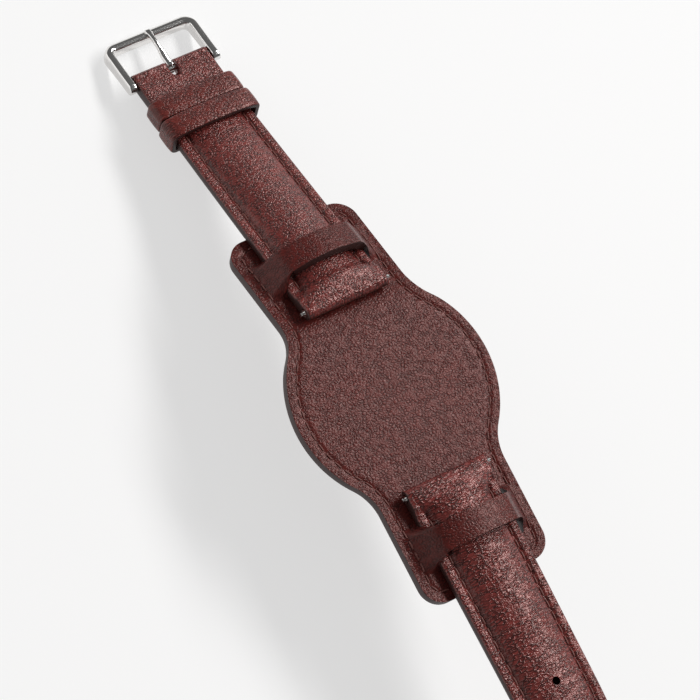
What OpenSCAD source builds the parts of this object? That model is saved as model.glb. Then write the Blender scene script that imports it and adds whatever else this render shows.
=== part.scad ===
// Padded leather watch strap on a wide wrist pad, with a pin buckle.
// X runs across the strap, +Y towards the buckle, +Z up. The origin is the middle of the pad's top
// face. The pad is flat there and its buckle end bends down, as it does round a wrist.
//
// Pad and straps are drawn flat, as [x, t, h]: x across, t along from the middle of the pad and
// h above the pad's top face. place(t) then gives the spot and the slope of the bent line at t.

/* [Pad] */
// Length of the pad along its surface
pad_len = 94; // [90:1:100]
// Radius of the round middle that the case sits on
pad_r = 25.2; // [24:0.2:27]
// Width of the two end tabs
tab_w = 33; // [32:0.5:35]
// Radius of the four tab corners
tab_corner_r = 5; // [3:0.5:6]
// Radius of the hollow between the round middle and a tab
pad_hollow_r = 12; // [10:1:15]
// Thickness of the pad's top leather
pad_top_t = 1.25; // [1:0.05:1.5]
// Thickness of the pad's lining
pad_lining_t = 1; // [0.8:0.05:1.2]
// Distance of the pad's seam from its edge
pad_seam_in = 2.4; // [2:0.1:2.8]
// Flat length of the pad before it bends down
pad_flat = 13; // [12:0.5:14]
// Radius of the bend, at the top face
bend_r = 25; // [22:1:28]
// Fall of the bent end for each millimetre along it
pad_fall = 0.352; // [0.3:0.002:0.4]

/* [Bridges] */
// Width of a bridge along the strap
bridge_w = 6.2; // [5:0.2:7]
// Distance of a bridge's middle from the middle of the pad
bridge_at = 34.5; // [34:0.25:35]
// Length of the slot on the inner side of a bridge
slot_in_w = 3.9; // [3.5:0.1:4.2]
// Length of the slot on the outer side of a bridge
slot_out_w = 3; // [2.6:0.1:3.4]
// Half width of the slots
slot_half = 11.8; // [11.7:0.1:12.2]
// Height of the top of a bridge above the pad
bridge_h = 8.1; // [8:0.1:8.8]
// Half width over the feet of a bridge
bridge_foot = 15.2; // [15:0.1:15.6]

/* [Strap] */
// Distance of each lug bar from the middle of the pad
lug_at = 23; // [22.6:0.1:23.6]
// Width between the lugs that the strap fits
lug_w = 22; // [21.6:0.1:22.4]
// Width of the leather at the buckle
buckle_end_w = 19.9; // [19:0.1:20.4]
// Length of the short piece, leather end to leather end
short_len = 75; // [72:1:78]
// Length of the long piece, leather end to leather end
long_len = 120; // [115:1:125]
// Thickness of the straps' lining
lining_t = 0.9; // [0.7:0.05:1]
// Thickness of the straps' edges
edge_t = 2.3; // [2.1:0.05:2.4]
// Height that the padding adds
padding_h = 2.5; // [2:0.1:2.6]
// Width of the flat margin outside the padding
margin_w = 2.9; // [2.6:0.1:3.2]
// Length of the long strap's pointed end
point_len = 15; // [12:1:18]
// Angle that the buckle end of the short strap bends back up
short_rise = 1; // [0.5:0.5:8]
// Flat length of the long strap, from the middle of the pad
long_flat = 76; // [72:1:80]
// Angle through which the long strap curves down after that
long_bend = 51.6; // [50:0.2:55]

/* [Holes] */
// Number of tongue holes
hole_n = 7; // [5:1:8]
// Distance of the first hole from the lug bar
hole_first = 50; // [49:0.5:54]
// Spacing of the holes
hole_pitch = 6.5; // [6:0.25:7]
// Diameter of a hole
hole_d = 1.9; // [1.8:0.05:2]

/* [Keepers] */
// Width of a keeper along the strap
keeper_w = 5.5; // [5:0.1:6]
// Thickness of a keeper
keeper_t = 1.2; // [1:0.05:1.3]
// Distance of the fixed keeper from the end of the leather
keeper_at = 9.5; // [9:0.25:10.5]
// Gap between the two keepers
keeper_gap = 0.4; // [0.3:0.05:0.6]

/* [Buckle] */
// Gap between the leather's end and each buckle arm
buckle_gap = 0.35; // [0.25:0.05:0.6]
// Width of a buckle arm
arm_w = 1.9; // [1.6:0.1:2]
// Distance from the buckle bar to the outside of the crossbar
buckle_reach = 11.2; // [10.8:0.1:12]
// Width of the crossbar
crossbar_w = 2.3; // [2:0.1:2.6]
// Height of the arms at the crossbar
arm_h = 3.4; // [3:0.1:3.6]
// Outer radius of the frame's corners
frame_corner_r = 3; // [2:0.25:3.5]
// Width of the tongue
tongue_w = 2; // [1.8:0.05:2.1]
// Thickness of the tongue at its tip
tongue_t = 1; // [0.9:0.05:1.2]

/* [Spring bars] */
// Outer diameter of a lug bar
lug_bar_d = 1.8; // [1.7:0.05:1.9]
// Outer diameter of the buckle bar
buckle_bar_d = 1.5; // [1.4:0.05:1.55]
// Wall of a bar's tube
tube_wall = 0.24; // [0.2:0.01:0.26]
// Diameter of a bar's end pin
pin_d = 0.8; // [0.7:0.05:0.85]
// Length of a bar's end pin
pin_len = 0.9; // [0.8:0.05:1]
// Travel of a bar's tip
tip_travel = 1.2; // [1:0.05:1.3]
// Thickness of the flange on a bar's tip
flange_t = 0.4; // [0.3:0.05:0.5]

/* [Fits] */
// Gap between parts that move on each other
clear = 0.3; // [0.25:0.01:0.35]
// Glue line between layers of one piece
glue = 0.05; // [0.04:0.01:0.06]
// Running fit of a bar in its loop
run_fit = 0.05; // [0.04:0.01:0.06]
// Leather round a bar
loop_t = 0.8; // [0.7:0.05:0.9]

/* [Hidden] */
$fn = 48;
leather = "#5a2f2b";
leather_dark = "#4a2320";
thread = "#6b3a33";
steel = "#c9cdd2";
far = 60;

pad_bend = asin(pad_fall);
bend_y = pad_flat + bend_r * pad_fall;
bend_z = -bend_r * (1 - cos(pad_bend));
pad_t = pad_top_t + glue + pad_lining_t;
lug_loop_r = lug_bar_d / 2 + run_fit + loop_t;
buckle_loop_r = buckle_bar_d / 2 + run_fit + loop_t + (lug_bar_d - buckle_bar_d) / 2;
lug_bar_h = clear + lug_loop_r;
buckle_bar_h = clear + buckle_loop_r;
short_end = lug_at - lug_loop_r + short_len;
buckle_at = short_end - buckle_loop_r;
buckle_w = buckle_end_w + 2 * (buckle_gap + arm_w);
long_end = lug_at - lug_loop_r + long_len;
lug_leather_w = lug_w - 0.4;
fixed_at = short_end - keeper_at - keeper_w / 2;
floating_at = fixed_at - keeper_w - keeper_gap;
lining_h = clear + lining_t;

// The bent line: stretches of [length, turn], outwards from the pad's bend and from its middle
short_way = [[pad_len / 2 + 1 - bend_y, 0], [short_end - pad_len / 2 - 1, short_rise], [far, 0]];
long_way = [[long_flat, 0], [long_end - long_flat, -long_bend], [far, 0]];
function rest(list) = [for (i = [1:1:len(list) - 1]) list[i]];
function onward(p, run, turn) =
    let (a = p[2], b = a + turn)
    abs(turn) < 0.001
    ? [p[0] + run * cos(a), p[1] + run * sin(a), a]
    : let (r = run / (turn * PI / 180)) [p[0] + r * (sin(b) - sin(a)), p[1] - r * (cos(b) - cos(a)), b];
function walk(way, t, p) =
    t <= way[0][0]
    ? onward(p, t, way[0][1] * t / way[0][0])
    : walk(rest(way), t - way[0][0], onward(p, way[0][0], way[0][1]));
function place(t) =
    t < 0
    ? let (p = walk(long_way, -t, [0, 0, 0])) [-p[0], p[1], -p[2]]
    : t <= pad_flat
    ? [t, 0, 0]
    : t <= bend_y
    ? let (a = asin((t - pad_flat) / bend_r)) [t, -bend_r * (1 - cos(a)), -a]
    : walk(short_way, t - bend_y, [bend_y, bend_z, -pad_bend]);
function bent(x, t, h) = let (p = place(t)) [x, p[0] - h * sin(p[2]), p[1] + h * cos(p[2])];

// Puts a piece drawn flat at t on the bent line there, as one rigid piece
module at(t, h = 0) {
    p = place(t);
    translate([0, p[0] - h * sin(p[2]), p[1] + h * cos(p[2])]) rotate([p[2], 0, 0]) children();
}

// Puts what is drawn flat in [x, t, h] on the bent end of the pad
module on_bent_end() {
    translate([0, bend_y, bend_z]) rotate([-pad_bend, 0, 0]) translate([0, -bend_y, 0]) children();
}

// An outline in [t, h] extruded across the strap, from x0 to x1
module across(x0, x1) {
    translate([x0, 0, 0]) rotate([90, 0, 90]) linear_extrude(x1 - x0) children();
}

// An outline in [x, h] extruded along the strap by run, centred
module along(run) {
    translate([0, run / 2, 0]) rotate([90, 0, 0]) linear_extrude(run) children();
}

// A solid through rings, each half underside, from -x to +x, and half upper side, back again
module loft(rings) {
    n = len(rings[0]);
    m = len(rings);
    z = (m - 1) * n;
    points = [for (ring = rings) each ring];
    sides = [
        for (j = [0:m - 2], i = [0:n - 1])
            let (k = (i + 1) % n, a = j * n + i, b = j * n + k, c = a + n, d = b + n)
                each [[a, b, d], [a, d, c]]
    ];
    ends = [
        for (i = [0:n / 2 - 2])
            let (b = i + 1, c = n - 2 - i, d = n - 1 - i)
                each [[i, c, b], [i, d, c], [z + i, z + b, z + c], [z + i, z + c, z + d]]
    ];
    polyhedron(points, concat(sides, ends), convexity = 6);
}
function smooth(u) = let (v = max(0, min(1, u))) v * v * (3 - 2 * v);
function mix(a, b, u) = a + (b - a) * max(0, min(1, u));

// The pad's outline, flat
module tab_outline() {
    a = tab_w / 2;
    l = pad_len / 2;
    r = tab_corner_r;
    translate([-a, 0]) square([2 * a, l - r]);
    translate([r - a, 0]) square([2 * (a - r), l]);
    for (s = [-1, 1]) translate([s * (a - r), l - r]) circle(r);
    hollow_y = sqrt(pow(pad_r + pad_hollow_r, 2) - pow(a + pad_hollow_r, 2));
    middle = [a + pad_hollow_r, hollow_y];
    for (s = [0, 1]) mirror([s, 0]) difference() {
        polygon([[a / 2, 0], middle * pad_r / (pad_r + pad_hollow_r), middle, [a, hollow_y], [a / 2, hollow_y]]);
        translate(middle) circle(pad_hollow_r, $fn = 96);
    }
}
module pad_outline() {
    circle(pad_r, $fn = 120);
    tab_outline();
    mirror([0, 1]) tab_outline();
}
module slot(y0, y1) {
    r = min((y1 - y0) / 2, 1.5);
    translate([-slot_half + r, y0]) square([2 * (slot_half - r), y1 - y0]);
    translate([-slot_half, y0 + r]) square([2 * slot_half, y1 - y0 - 2 * r + 0.001]);
    for (x = [-1, 1], y = [y0 + r, y1 - r]) translate([x * (slot_half - r), y]) circle(r);
}
// The opening for a bridge and its two slots, narrower by inset under the bridge itself
module window(inset) {
    y0 = bridge_at - bridge_w / 2;
    y1 = bridge_at + bridge_w / 2;
    slot(y0 - slot_in_w, y0);
    slot(y1, y1 + slot_out_w);
    translate([inset - slot_half, y0 - 0.01]) square([2 * (slot_half - inset), bridge_w + 0.02]);
}

// One layer of the pad between the heights h0 and h1, with the openings for the bridges
module pad_plate(h0, h1, inset) {
    t = h1 - h0;
    difference() {
        union() {
            translate([0, 0, h0]) linear_extrude(t) intersection() {
                pad_outline();
                translate([-far, -2 * far]) square([2 * far, 2 * far + pad_flat]);
            }
            intersection() {
                translate([0, pad_flat, -bend_r]) rotate([0, 90, 0])
                    rotate_extrude(angle = 90, start = 90, $fn = 360)
                        translate([bend_r + h0, -far]) square([t, 2 * far]);
                translate([0, 0, -far]) linear_extrude(2 * far) pad_outline();
                on_bent_end() translate([-far, bend_y - 2 * far, -far]) cube(2 * far);
            }
            on_bent_end() translate([0, 0, h0]) linear_extrude(t) intersection() {
                pad_outline();
                translate([-far, bend_y]) square([2 * far, far]);
            }
        }
        translate([0, 0, -far]) linear_extrude(2 * far) mirror([0, 1]) window(inset);
        on_bent_end() translate([0, 0, -far]) linear_extrude(2 * far) window(inset);
    }
}

// Height of the outside of a bridge above the pad
bridge_shoulder = 9.4;
bridge_dome = 0.0185;
bridge_n = 36;
bridge_xs = [for (i = [0:bridge_n]) bridge_foot * (2 * i / bridge_n - 1)];
function bridge_top(x) =
    (bridge_h - bridge_dome * x * x) * smooth((bridge_foot - abs(x)) / (bridge_foot - bridge_shoulder));

// A bridge's layer across the pad: the outside at height up over the arch's, the inside at height low
module arch(half_out, half_in, up, low, toe) {
    outside = [for (x = bridge_xs) if (abs(x) < half_out) x];
    inside = [for (x = bridge_xs) if (abs(x) < half_in) x];
    n = len(outside) - 1;
    translate([0, bridge_at, 0]) along(bridge_w) polygon(concat(
        [[half_out, bridge_top(half_out) + up]],
        [for (i = [n:-1:0]) [outside[i], bridge_top(outside[i]) + up]],
        [[-half_out, bridge_top(half_out) + up], [-half_out, toe], [-half_in, toe]],
        [for (x = concat([-half_in], inside, [half_in])) [x, bridge_top(x) + low]],
        [[half_in, toe], [half_out, toe]]
    ));
}
module bridge_leather() { arch(bridge_foot, slot_half, 0, -pad_top_t, -pad_top_t / 2); }
module bridge_lining() {
    out = slot_half - glue;
    arch(out, out - leg_t, -pad_top_t - glue, -pad_t, -pad_t + pad_lining_t / 2);
}
leg_t = 0.8;
leg_seat = 0.15;

module pad_top_leather() {
    color(leather) union() {
        pad_plate(-pad_top_t, 0, 0);
        mirror([0, 1, 0]) bridge_leather();
        on_bent_end() bridge_leather();
    }
}
module pad_lining() {
    color(leather_dark) union() {
        pad_plate(-pad_t, -pad_top_t - glue, leg_t + glue - leg_seat);
        mirror([0, 1, 0]) bridge_lining();
        on_bent_end() bridge_lining();
    }
}

// A seam is a row of short round threads. Each runs between two places [x, t, h].
module stitch(p, q, r) {
    a = bent(p[0], p[1], p[2]);
    d = bent(q[0], q[1], q[2]) - a;
    translate(a) rotate([0, acos(d[2] / norm(d)), atan2(d[1], d[0])]) cylinder(norm(d), r, r, $fn = 16);
}
stitch_r = 0.2;
pad_stitch_r = 0.13;
stitch_pitch = 3;
pad_stitch_pitch = 2.7;
stitch_gap = 0.12;

// The pad's seam: a quarter of it from the middle of the buckle end, as stretches of [length, turn]
pad_hollow_y = sqrt(pow(pad_r + pad_hollow_r, 2) - pow(tab_w / 2 + pad_hollow_r, 2));
pad_hollow_a = atan2(pad_hollow_y, tab_w / 2 + pad_hollow_r);
quarter = [
    [tab_w / 2 - tab_corner_r, 0],
    [(tab_corner_r - pad_seam_in) * PI / 2, -90],
    [pad_len / 2 - tab_corner_r - pad_hollow_y, 0],
    [(pad_hollow_r + pad_seam_in) * pad_hollow_a * PI / 180, pad_hollow_a],
    [(pad_r - pad_seam_in) * pad_hollow_a * PI / 180, -pad_hollow_a],
    [far, 0]
];
quarter_len = quarter[0][0] + quarter[1][0] + quarter[2][0] + quarter[3][0] + quarter[4][0];
// The seam climbs the foot of a bridge where it crosses it
function seam_lift(x, t) =
    abs(t - bridge_at) < bridge_w / 2 + pad_stitch_pitch ? bridge_top(x - 3 * pad_stitch_r) : 0;
function pad_seam(s, x_side, y_side) =
    let (p = walk(quarter, s, [0, pad_len / 2 - pad_seam_in, 0]))
    [x_side * p[0], y_side * p[1], pad_stitch_r + 0.01 + seam_lift(p[0], p[1])];
module pad_stitching() {
    n = round(quarter_len / pad_stitch_pitch);
    step = quarter_len / n;
    color(thread) for (x = [-1, 1], y = [-1, 1], i = [0:n - 1])
        stitch(pad_seam((i + stitch_gap) * step, x, y), pad_seam((i + 1 - stitch_gap) * step, x, y), pad_stitch_r);
}

// Half width of the strap leather at t
function half_w(t) = mix(lug_leather_w, buckle_end_w, (abs(t) - lug_at + lug_loop_r) / short_len) / 2;
// Half width of the long strap, whose end is pointed
function long_half_w(t) = half_w(t) * sqrt(max(0, 1 - pow(max(0, (abs(t) - long_end) / point_len + 1), 2.4)));
// Rounded crown of the padding, from 1 in the middle to 0 at the margin
function crown(u) = abs(u) >= 1 ? 0 : pow(1 - u * u, 0.62);
// Thickness at the edges, and height of the padding, along each strap
lug_block = 2.8;
edge_fade_len = 2.4;
lug_fade_len = 4.5;
block_step = 0.3;
function lug_fade(t) = (abs(t) - lug_at - lug_block) / lug_fade_len;
function edge_fade(t) = (abs(t) - lug_at - lug_block) / edge_fade_len;
function lug_rise(t) = padding_h * (0.1 + 0.9 * smooth(lug_fade(t)));
function long_edge(t) = mix(2 * lug_loop_r - block_step, edge_t, edge_fade(t));
// Each strap's padding is full at first, then falls over the taper, the long strap's to nothing near the point
long_full_len = 34;
long_plain_len = 20;
short_full_len = 22;
short_taper_len = 36;
buckle_padding = 0.5;
keeper_flat_before = 1.5;
keeper_fade_len = 4;
function long_pad(t) =
    lug_rise(t) * mix(1, 0, (abs(t) - lug_at - long_full_len) / (long_end - lug_at - long_full_len - long_plain_len));
function short_edge(t) =
    t < floating_at
    ? mix(2 * lug_loop_r - block_step, edge_t, edge_fade(t))
    : mix(edge_t, 2 * buckle_loop_r - block_step, (t - floating_at) / (buckle_at - lug_block - floating_at));
function short_pad(t) =
    lug_rise(t) * mix(1, buckle_padding, (t - lug_at - short_full_len) / short_taper_len)
    * (1 - smooth((t - floating_at + keeper_flat_before) / keeper_fade_len));

// Rings of the three layers at t, for the half width w, the edge thickness e and the padding height f
crown_n = 6;
shoulder = 0.9;
crown_x = [for (i = [-crown_n:crown_n]) sin(90 * i / crown_n)];
function lining_ring(t, w) = [for (p = [[-w, clear], [w, clear], [w, lining_h], [-w, lining_h]]) bent(p[0], t, p[1])];
function leather_ring(t, w, e, f) =
    let (
        a = max(w - margin_w, 0.4 * w),
        b = a - min(shoulder, 0.2 * w),
        base = lining_h + glue,
        top = clear + e
    )
    [for (p = concat(
        [[-w, base]],
        [for (u = crown_x) [b * u, base + f * crown(u)]],
        [[w, base], [w, top]],
        [for (i = [2 * crown_n:-1:0]) let (u = crown_x[i]) [a * u, top + f * crown(u)]],
        [[-w, top]]
    )) bent(p[0], t, p[1])];
filler_rim = 0.06;
function filler_ring(t, w, f) =
    let (b = w - margin_w - shoulder - 2 * glue, base = lining_h + glue)
    [for (p = concat(
        [for (u = crown_x) [b * u, base]],
        [for (i = [2 * crown_n:-1:0]) let (u = crown_x[i]) [b * u, base + max(filler_rim, f * crown(u) - glue)]]
    )) bent(p[0], t, p[1])];

// Places of the rings along each strap, counted from the middle of the pad
function run(a, b, n) = [for (i = [1:n]) a + (b - a) * i / n];
lug_start = lug_at + lug_block;
point_at = long_end - point_len;
long_stops = concat(
    [lug_start], run(lug_start, lug_start + lug_fade_len, 4), run(lug_start + lug_fade_len, long_flat, 7),
    run(long_flat, point_at, 13), [for (u = [0.25, 0.45, 0.6, 0.72, 0.82, 0.9, 0.955, 0.985]) point_at + u * point_len]
);
long_ts = [for (i = [len(long_stops) - 1:-1:0]) -long_stops[i]];
short_last = buckle_at - lug_block;
short_ts = concat(
    [lug_start], run(lug_start, lug_start + lug_fade_len, 4), run(lug_start + lug_fade_len, pad_len / 2 + 1, 3),
    run(pad_len / 2 + 1, floating_at - 2, 7), run(floating_at - 2, floating_at + 3, 4),
    run(floating_at + 3, short_last, 3)
);
// The padding stops where it is too low to need a filler
filler_least = 0.35;
lining_back = 2.6;

// Leather turned round a bar: the loop, and the block that joins it to the strap on the side dir
module bar_loop(w, loop_r, bar_h, bore_d, dir) {
    low = lining_h + glue + 0.1 - bar_h;
    across(-w, w) mirror([dir < 0 ? 1 : 0, 0]) difference() {
        union() {
            circle(loop_r);
            translate([0, low]) square([lug_block + 1, loop_r - 0.45 - low]);
        }
        circle(bore_d / 2 + run_fit);
    }
}
module tongue_hole(t) { at(t) translate([0, 0, -far / 4]) cylinder(far / 2, d = hole_d); }
module tongue_holes() { for (i = [0:hole_n - 1]) tongue_hole(-lug_at - hole_first - i * hole_pitch); }

module long_top_leather() {
    color(leather) difference() {
        union() {
            loft([for (t = long_ts) leather_ring(t, long_half_w(t), long_edge(t), long_pad(t))]);
            at(-lug_at, lug_bar_h) bar_loop(half_w(lug_at) - 0.1, lug_loop_r, lug_bar_h, lug_bar_d, -1);
        }
        tongue_holes();
    }
}
module long_filler() {
    color(leather_dark) difference() {
        loft([for (t = long_ts) if (long_pad(t) > filler_least) filler_ring(t, long_half_w(t), long_pad(t))]);
        tongue_holes();
    }
}
module long_lining() {
    color(leather_dark) difference() {
        loft([for (t = concat(long_ts, [-lug_at - lining_back])) lining_ring(t, long_half_w(t))]);
        tongue_holes();
    }
}
module short_top_leather() {
    color(leather) difference() {
        union() {
            loft([for (t = short_ts) leather_ring(t, half_w(t), short_edge(t), short_pad(t))]);
            at(lug_at, lug_bar_h) bar_loop(half_w(lug_at) - 0.1, lug_loop_r, lug_bar_h, lug_bar_d, 1);
            at(buckle_at, buckle_bar_h)
                bar_loop(half_w(buckle_at) - 0.1, buckle_loop_r, buckle_bar_h, buckle_bar_d, -1);
        }
        tongue_notch();
    }
}
notch_w = 2.6;
notch_len = 5;
module tongue_notch() {
    foot = buckle_loop_r - notch_len + notch_w / 2;
    at(buckle_at) {
        translate([-notch_w / 2, foot, -clear]) cube([notch_w, notch_len, 2 * (clear + edge_t)]);
        translate([0, foot, -clear]) cylinder(2 * (clear + edge_t), d = notch_w);
    }
}
module short_filler() {
    color(leather_dark) loft([for (t = short_ts) if (short_pad(t) > filler_least) filler_ring(t, half_w(t), short_pad(t))]);
}
module short_lining() {
    color(leather_dark) loft([
        for (t = concat([lug_at + lining_back], short_ts, [buckle_at - lining_back])) lining_ring(t, half_w(t))
    ]);
}

// Rows of stitches along both margins, from the distance a to b from the middle of the pad
seam_in = 2.6;
module strap_seam(a, b, dir) {
    n = round((b - a) / stitch_pitch);
    step = (b - a) / n;
    for (x = [-1, 1], i = [0:n - 1]) {
        p = a + (i + stitch_gap) * step;
        q = a + (i + 1 - stitch_gap) * step;
        stitch(margin_place(dir * p, x), margin_place(dir * q, x), stitch_r);
    }
}
function margin_place(t, x_side) =
    let (w = t < 0 ? long_half_w(t) : half_w(t))
    [x_side * max(0.3, w - seam_in), t, clear + edge_t + stitch_r + 0.03];
module long_stitching() { color(thread) strap_seam(lug_start + lug_fade_len, long_end - 0.12 * point_len, -1); }
module short_stitching() { color(thread) strap_seam(lug_start + lug_fade_len, floating_at + 0.5, 1); }

// A keeper's band round the strap: half width inside w, floor at low, sides up to side, top at mid
keeper_n = 12;
function keeper_top(w, side, mid) =
    [for (i = [0:keeper_n]) let (a = 180 * i / keeper_n) [w * cos(a), side + (mid - side) * pow(sin(a), 0.8)]];
module keeper(w, low, side, mid) {
    along(keeper_w) difference() {
        polygon(concat(
            [[w + keeper_t - 0.5, low - keeper_t], [w + keeper_t, low - keeper_t + 0.5]],
            keeper_top(w + keeper_t, side, mid + keeper_t),
            [[-w - keeper_t, low - keeper_t + 0.5], [0.5 - w - keeper_t, low - keeper_t]]
        ));
        polygon(concat([[w, low]], keeper_top(w, side, mid), [[-w, low]]));
    }
}
module fixed_keeper() {
    edge = clear + short_edge(fixed_at + keeper_w / 2) + glue;
    color(leather) at(fixed_at) keeper(half_w(fixed_at - keeper_w / 2) + glue, clear - glue, edge, edge + keeper_arch);
}
module floating_keeper() {
    t = floating_at - keeper_w / 2 - keeper_travel;
    edge = clear + edge_t + 2 * stitch_r + clear + 0.1;
    top = clear + edge_t + short_pad(t) + clear;
    color(leather) at(floating_at) keeper(half_w(t) + clear, clear - clear, edge, top);
}
keeper_arch = 0.7;
keeper_travel = 10;

// The buckle's frame, tongue and bar lie in the frame at the middle of the bar
arm_tail = 1.1;
tail_r = 1.45;
arm_slope = 4;
crossbar_r = 1.1;
groove = 0.5;
module buckle_plan() {
    w = buckle_w / 2;
    r = frame_corner_r;
    back = -arm_tail - tail_r - 1;
    difference() {
        union() {
            translate([-w, back]) square([2 * w, buckle_reach - r - back]);
            translate([r - w, back]) square([2 * (w - r), buckle_reach - back]);
            for (s = [-1, 1]) translate([s * (w - r), buckle_reach - r]) circle(r);
        }
        window_w = w - arm_w;
        front = buckle_reach - crossbar_w;
        q = r / 2;
        translate([-window_w, back - 1]) square([2 * window_w, front - q - back + 1]);
        translate([q - window_w, back - 1]) square([2 * (window_w - q), front - back + 1]);
        for (s = [-1, 1]) translate([s * (window_w - q), front - q]) circle(q);
    }
}
function arc(y, z, r, a0, a1) = [for (a = [a0:(a1 - a0) / 8:a1 + 0.01]) [y + r * cos(a), z + r * sin(a)]];
module buckle_side() {
    h = arm_h / 2;
    r = crossbar_r;
    polygon(concat(
        arc(-arm_tail, 0, tail_r, 90 + arm_slope, 180), arc(-arm_tail, 0, tail_r, 180, 270 - arm_slope),
        arc(buckle_reach - r, r - h, r, 270, 360), arc(buckle_reach - r, h - r, r, 0, 90)
    ));
}
module buckle_frame() {
    hole_depth = pin_len + 0.2;
    color(steel) at(buckle_at, buckle_bar_h) difference() {
        intersection() {
            translate([0, 0, -far]) linear_extrude(2 * far) buckle_plan();
            across(-far, far) buckle_side();
        }
        for (s = [0, 1]) mirror([s, 0, 0]) translate([buckle_w / 2 - arm_w, 0, 0]) rotate([0, 90, 0])
            translate([0, 0, -1]) cylinder(hole_depth + 1, d = pin_d + 2 * run_fit);
        translate([-tongue_w / 2 - 0.2, buckle_reach - crossbar_w - 1, arm_h / 2 - groove])
            cube([tongue_w + 0.4, crossbar_w + 2, 1]);
    }
}
curl_t = 0.65;
tongue_root_t = 1.3;
tongue_n = 8;
tongue_lift = 0.15;
module buckle_tongue() {
    inner = buckle_bar_d / 2 + run_fit;
    outer = inner + curl_t;
    seat = arm_h / 2 - groove + tongue_lift;
    reach = buckle_reach - tongue_t / 2;
    us = [for (i = [0:tongue_n]) i / tongue_n];
    under = [for (u = us) [u * reach, mix(outer - tongue_root_t, seat, smooth(1.25 * u))]];
    thick = [for (u = us) mix(tongue_root_t, tongue_t, u)];
    color(steel) at(buckle_at, buckle_bar_h) intersection() {
        across(-tongue_w / 2, tongue_w / 2) difference() {
            union() {
                circle(outer);
                polygon(concat(under, [for (i = [tongue_n:-1:0]) under[i] + [0, thick[i]]]));
                translate([reach, seat + tongue_t / 2]) circle(tongue_t / 2);
            }
            circle(inner);
        }
        translate([0, 0, -far]) linear_extrude(2 * far) polygon([
            [-tongue_w / 2, -far], [tongue_w / 2, -far], [tongue_w / 2, outer],
            [0.36 * tongue_w, buckle_reach], [-0.36 * tongue_w, buckle_reach], [-tongue_w / 2, outer]
        ]);
    }
}

// Spring bars: a tube, a coil inside it and a sprung tip at each end that seats between the faces
piston_len = 3.6;
function tube_half(face) = face - flange_t - tip_travel - 0.1;
module bar_tube(d, face) {
    half = tube_half(face);
    across(-half, half) difference() {
        circle(d / 2);
        circle(d / 2 - tube_wall);
    }
}
module bar_tip(d, face, side) {
    inner = d / 2 - tube_wall - run_fit;
    flange = face - flange_t;
    mirror([side < 0 ? 1 : 0, 0, 0]) {
        across(flange - tip_travel - piston_len, flange + 0.01) circle(inner);
        across(flange, face) circle(d / 2 - 0.1);
        across(face - 0.01, face + pin_len) circle(pin_d / 2);
    }
}
module bar_spring(d, face) {
    half = face - flange_t - tip_travel - piston_len - glue;
    outer = d / 2 - tube_wall - run_fit;
    across(-half, half) difference() {
        circle(outer);
        circle(outer / 2);
    }
}
lug_face = lug_w / 2;
buckle_face = buckle_w / 2 - arm_w;
module short_bar_tube() { color(steel) at(lug_at, lug_bar_h) bar_tube(lug_bar_d, lug_face); }
module short_bar_spring() { color(steel) at(lug_at, lug_bar_h) bar_spring(lug_bar_d, lug_face); }
module short_bar_left_tip() { color(steel) at(lug_at, lug_bar_h) bar_tip(lug_bar_d, lug_face, -1); }
module short_bar_right_tip() { color(steel) at(lug_at, lug_bar_h) bar_tip(lug_bar_d, lug_face, 1); }
module long_bar_tube() { color(steel) at(-lug_at, lug_bar_h) bar_tube(lug_bar_d, lug_face); }
module long_bar_spring() { color(steel) at(-lug_at, lug_bar_h) bar_spring(lug_bar_d, lug_face); }
module long_bar_left_tip() { color(steel) at(-lug_at, lug_bar_h) bar_tip(lug_bar_d, lug_face, -1); }
module long_bar_right_tip() { color(steel) at(-lug_at, lug_bar_h) bar_tip(lug_bar_d, lug_face, 1); }
module buckle_bar_tube() { color(steel) at(buckle_at, buckle_bar_h) bar_tube(buckle_bar_d, buckle_face); }
module buckle_bar_spring() { color(steel) at(buckle_at, buckle_bar_h) bar_spring(buckle_bar_d, buckle_face); }
module buckle_bar_left_tip() { color(steel) at(buckle_at, buckle_bar_h) bar_tip(buckle_bar_d, buckle_face, -1); }
module buckle_bar_right_tip() { color(steel) at(buckle_at, buckle_bar_h) bar_tip(buckle_bar_d, buckle_face, 1); }

pad_top_leather();
pad_lining();
pad_stitching();
long_top_leather();
long_filler();
long_lining();
long_stitching();
short_top_leather();
short_filler();
short_lining();
short_stitching();
fixed_keeper();
floating_keeper();
buckle_frame();
buckle_tongue();
short_bar_tube();
short_bar_spring();
short_bar_left_tip();
short_bar_right_tip();
long_bar_tube();
long_bar_spring();
long_bar_left_tip();
long_bar_right_tip();
buckle_bar_tube();
buckle_bar_spring();
buckle_bar_left_tip();
buckle_bar_right_tip();
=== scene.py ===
"""Padded leather watch strap on a wide wrist pad, with a pin buckle.

The straps and the pad are drawn flat, as x across, t along from the middle of the pad and h above the
pad's top face, all in millimetres. bend() then lays them on the bent line that the CAD frame follows.
"""
import math

import bmesh
import bpy
import numpy as np
from mathutils import Matrix, Vector


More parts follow.
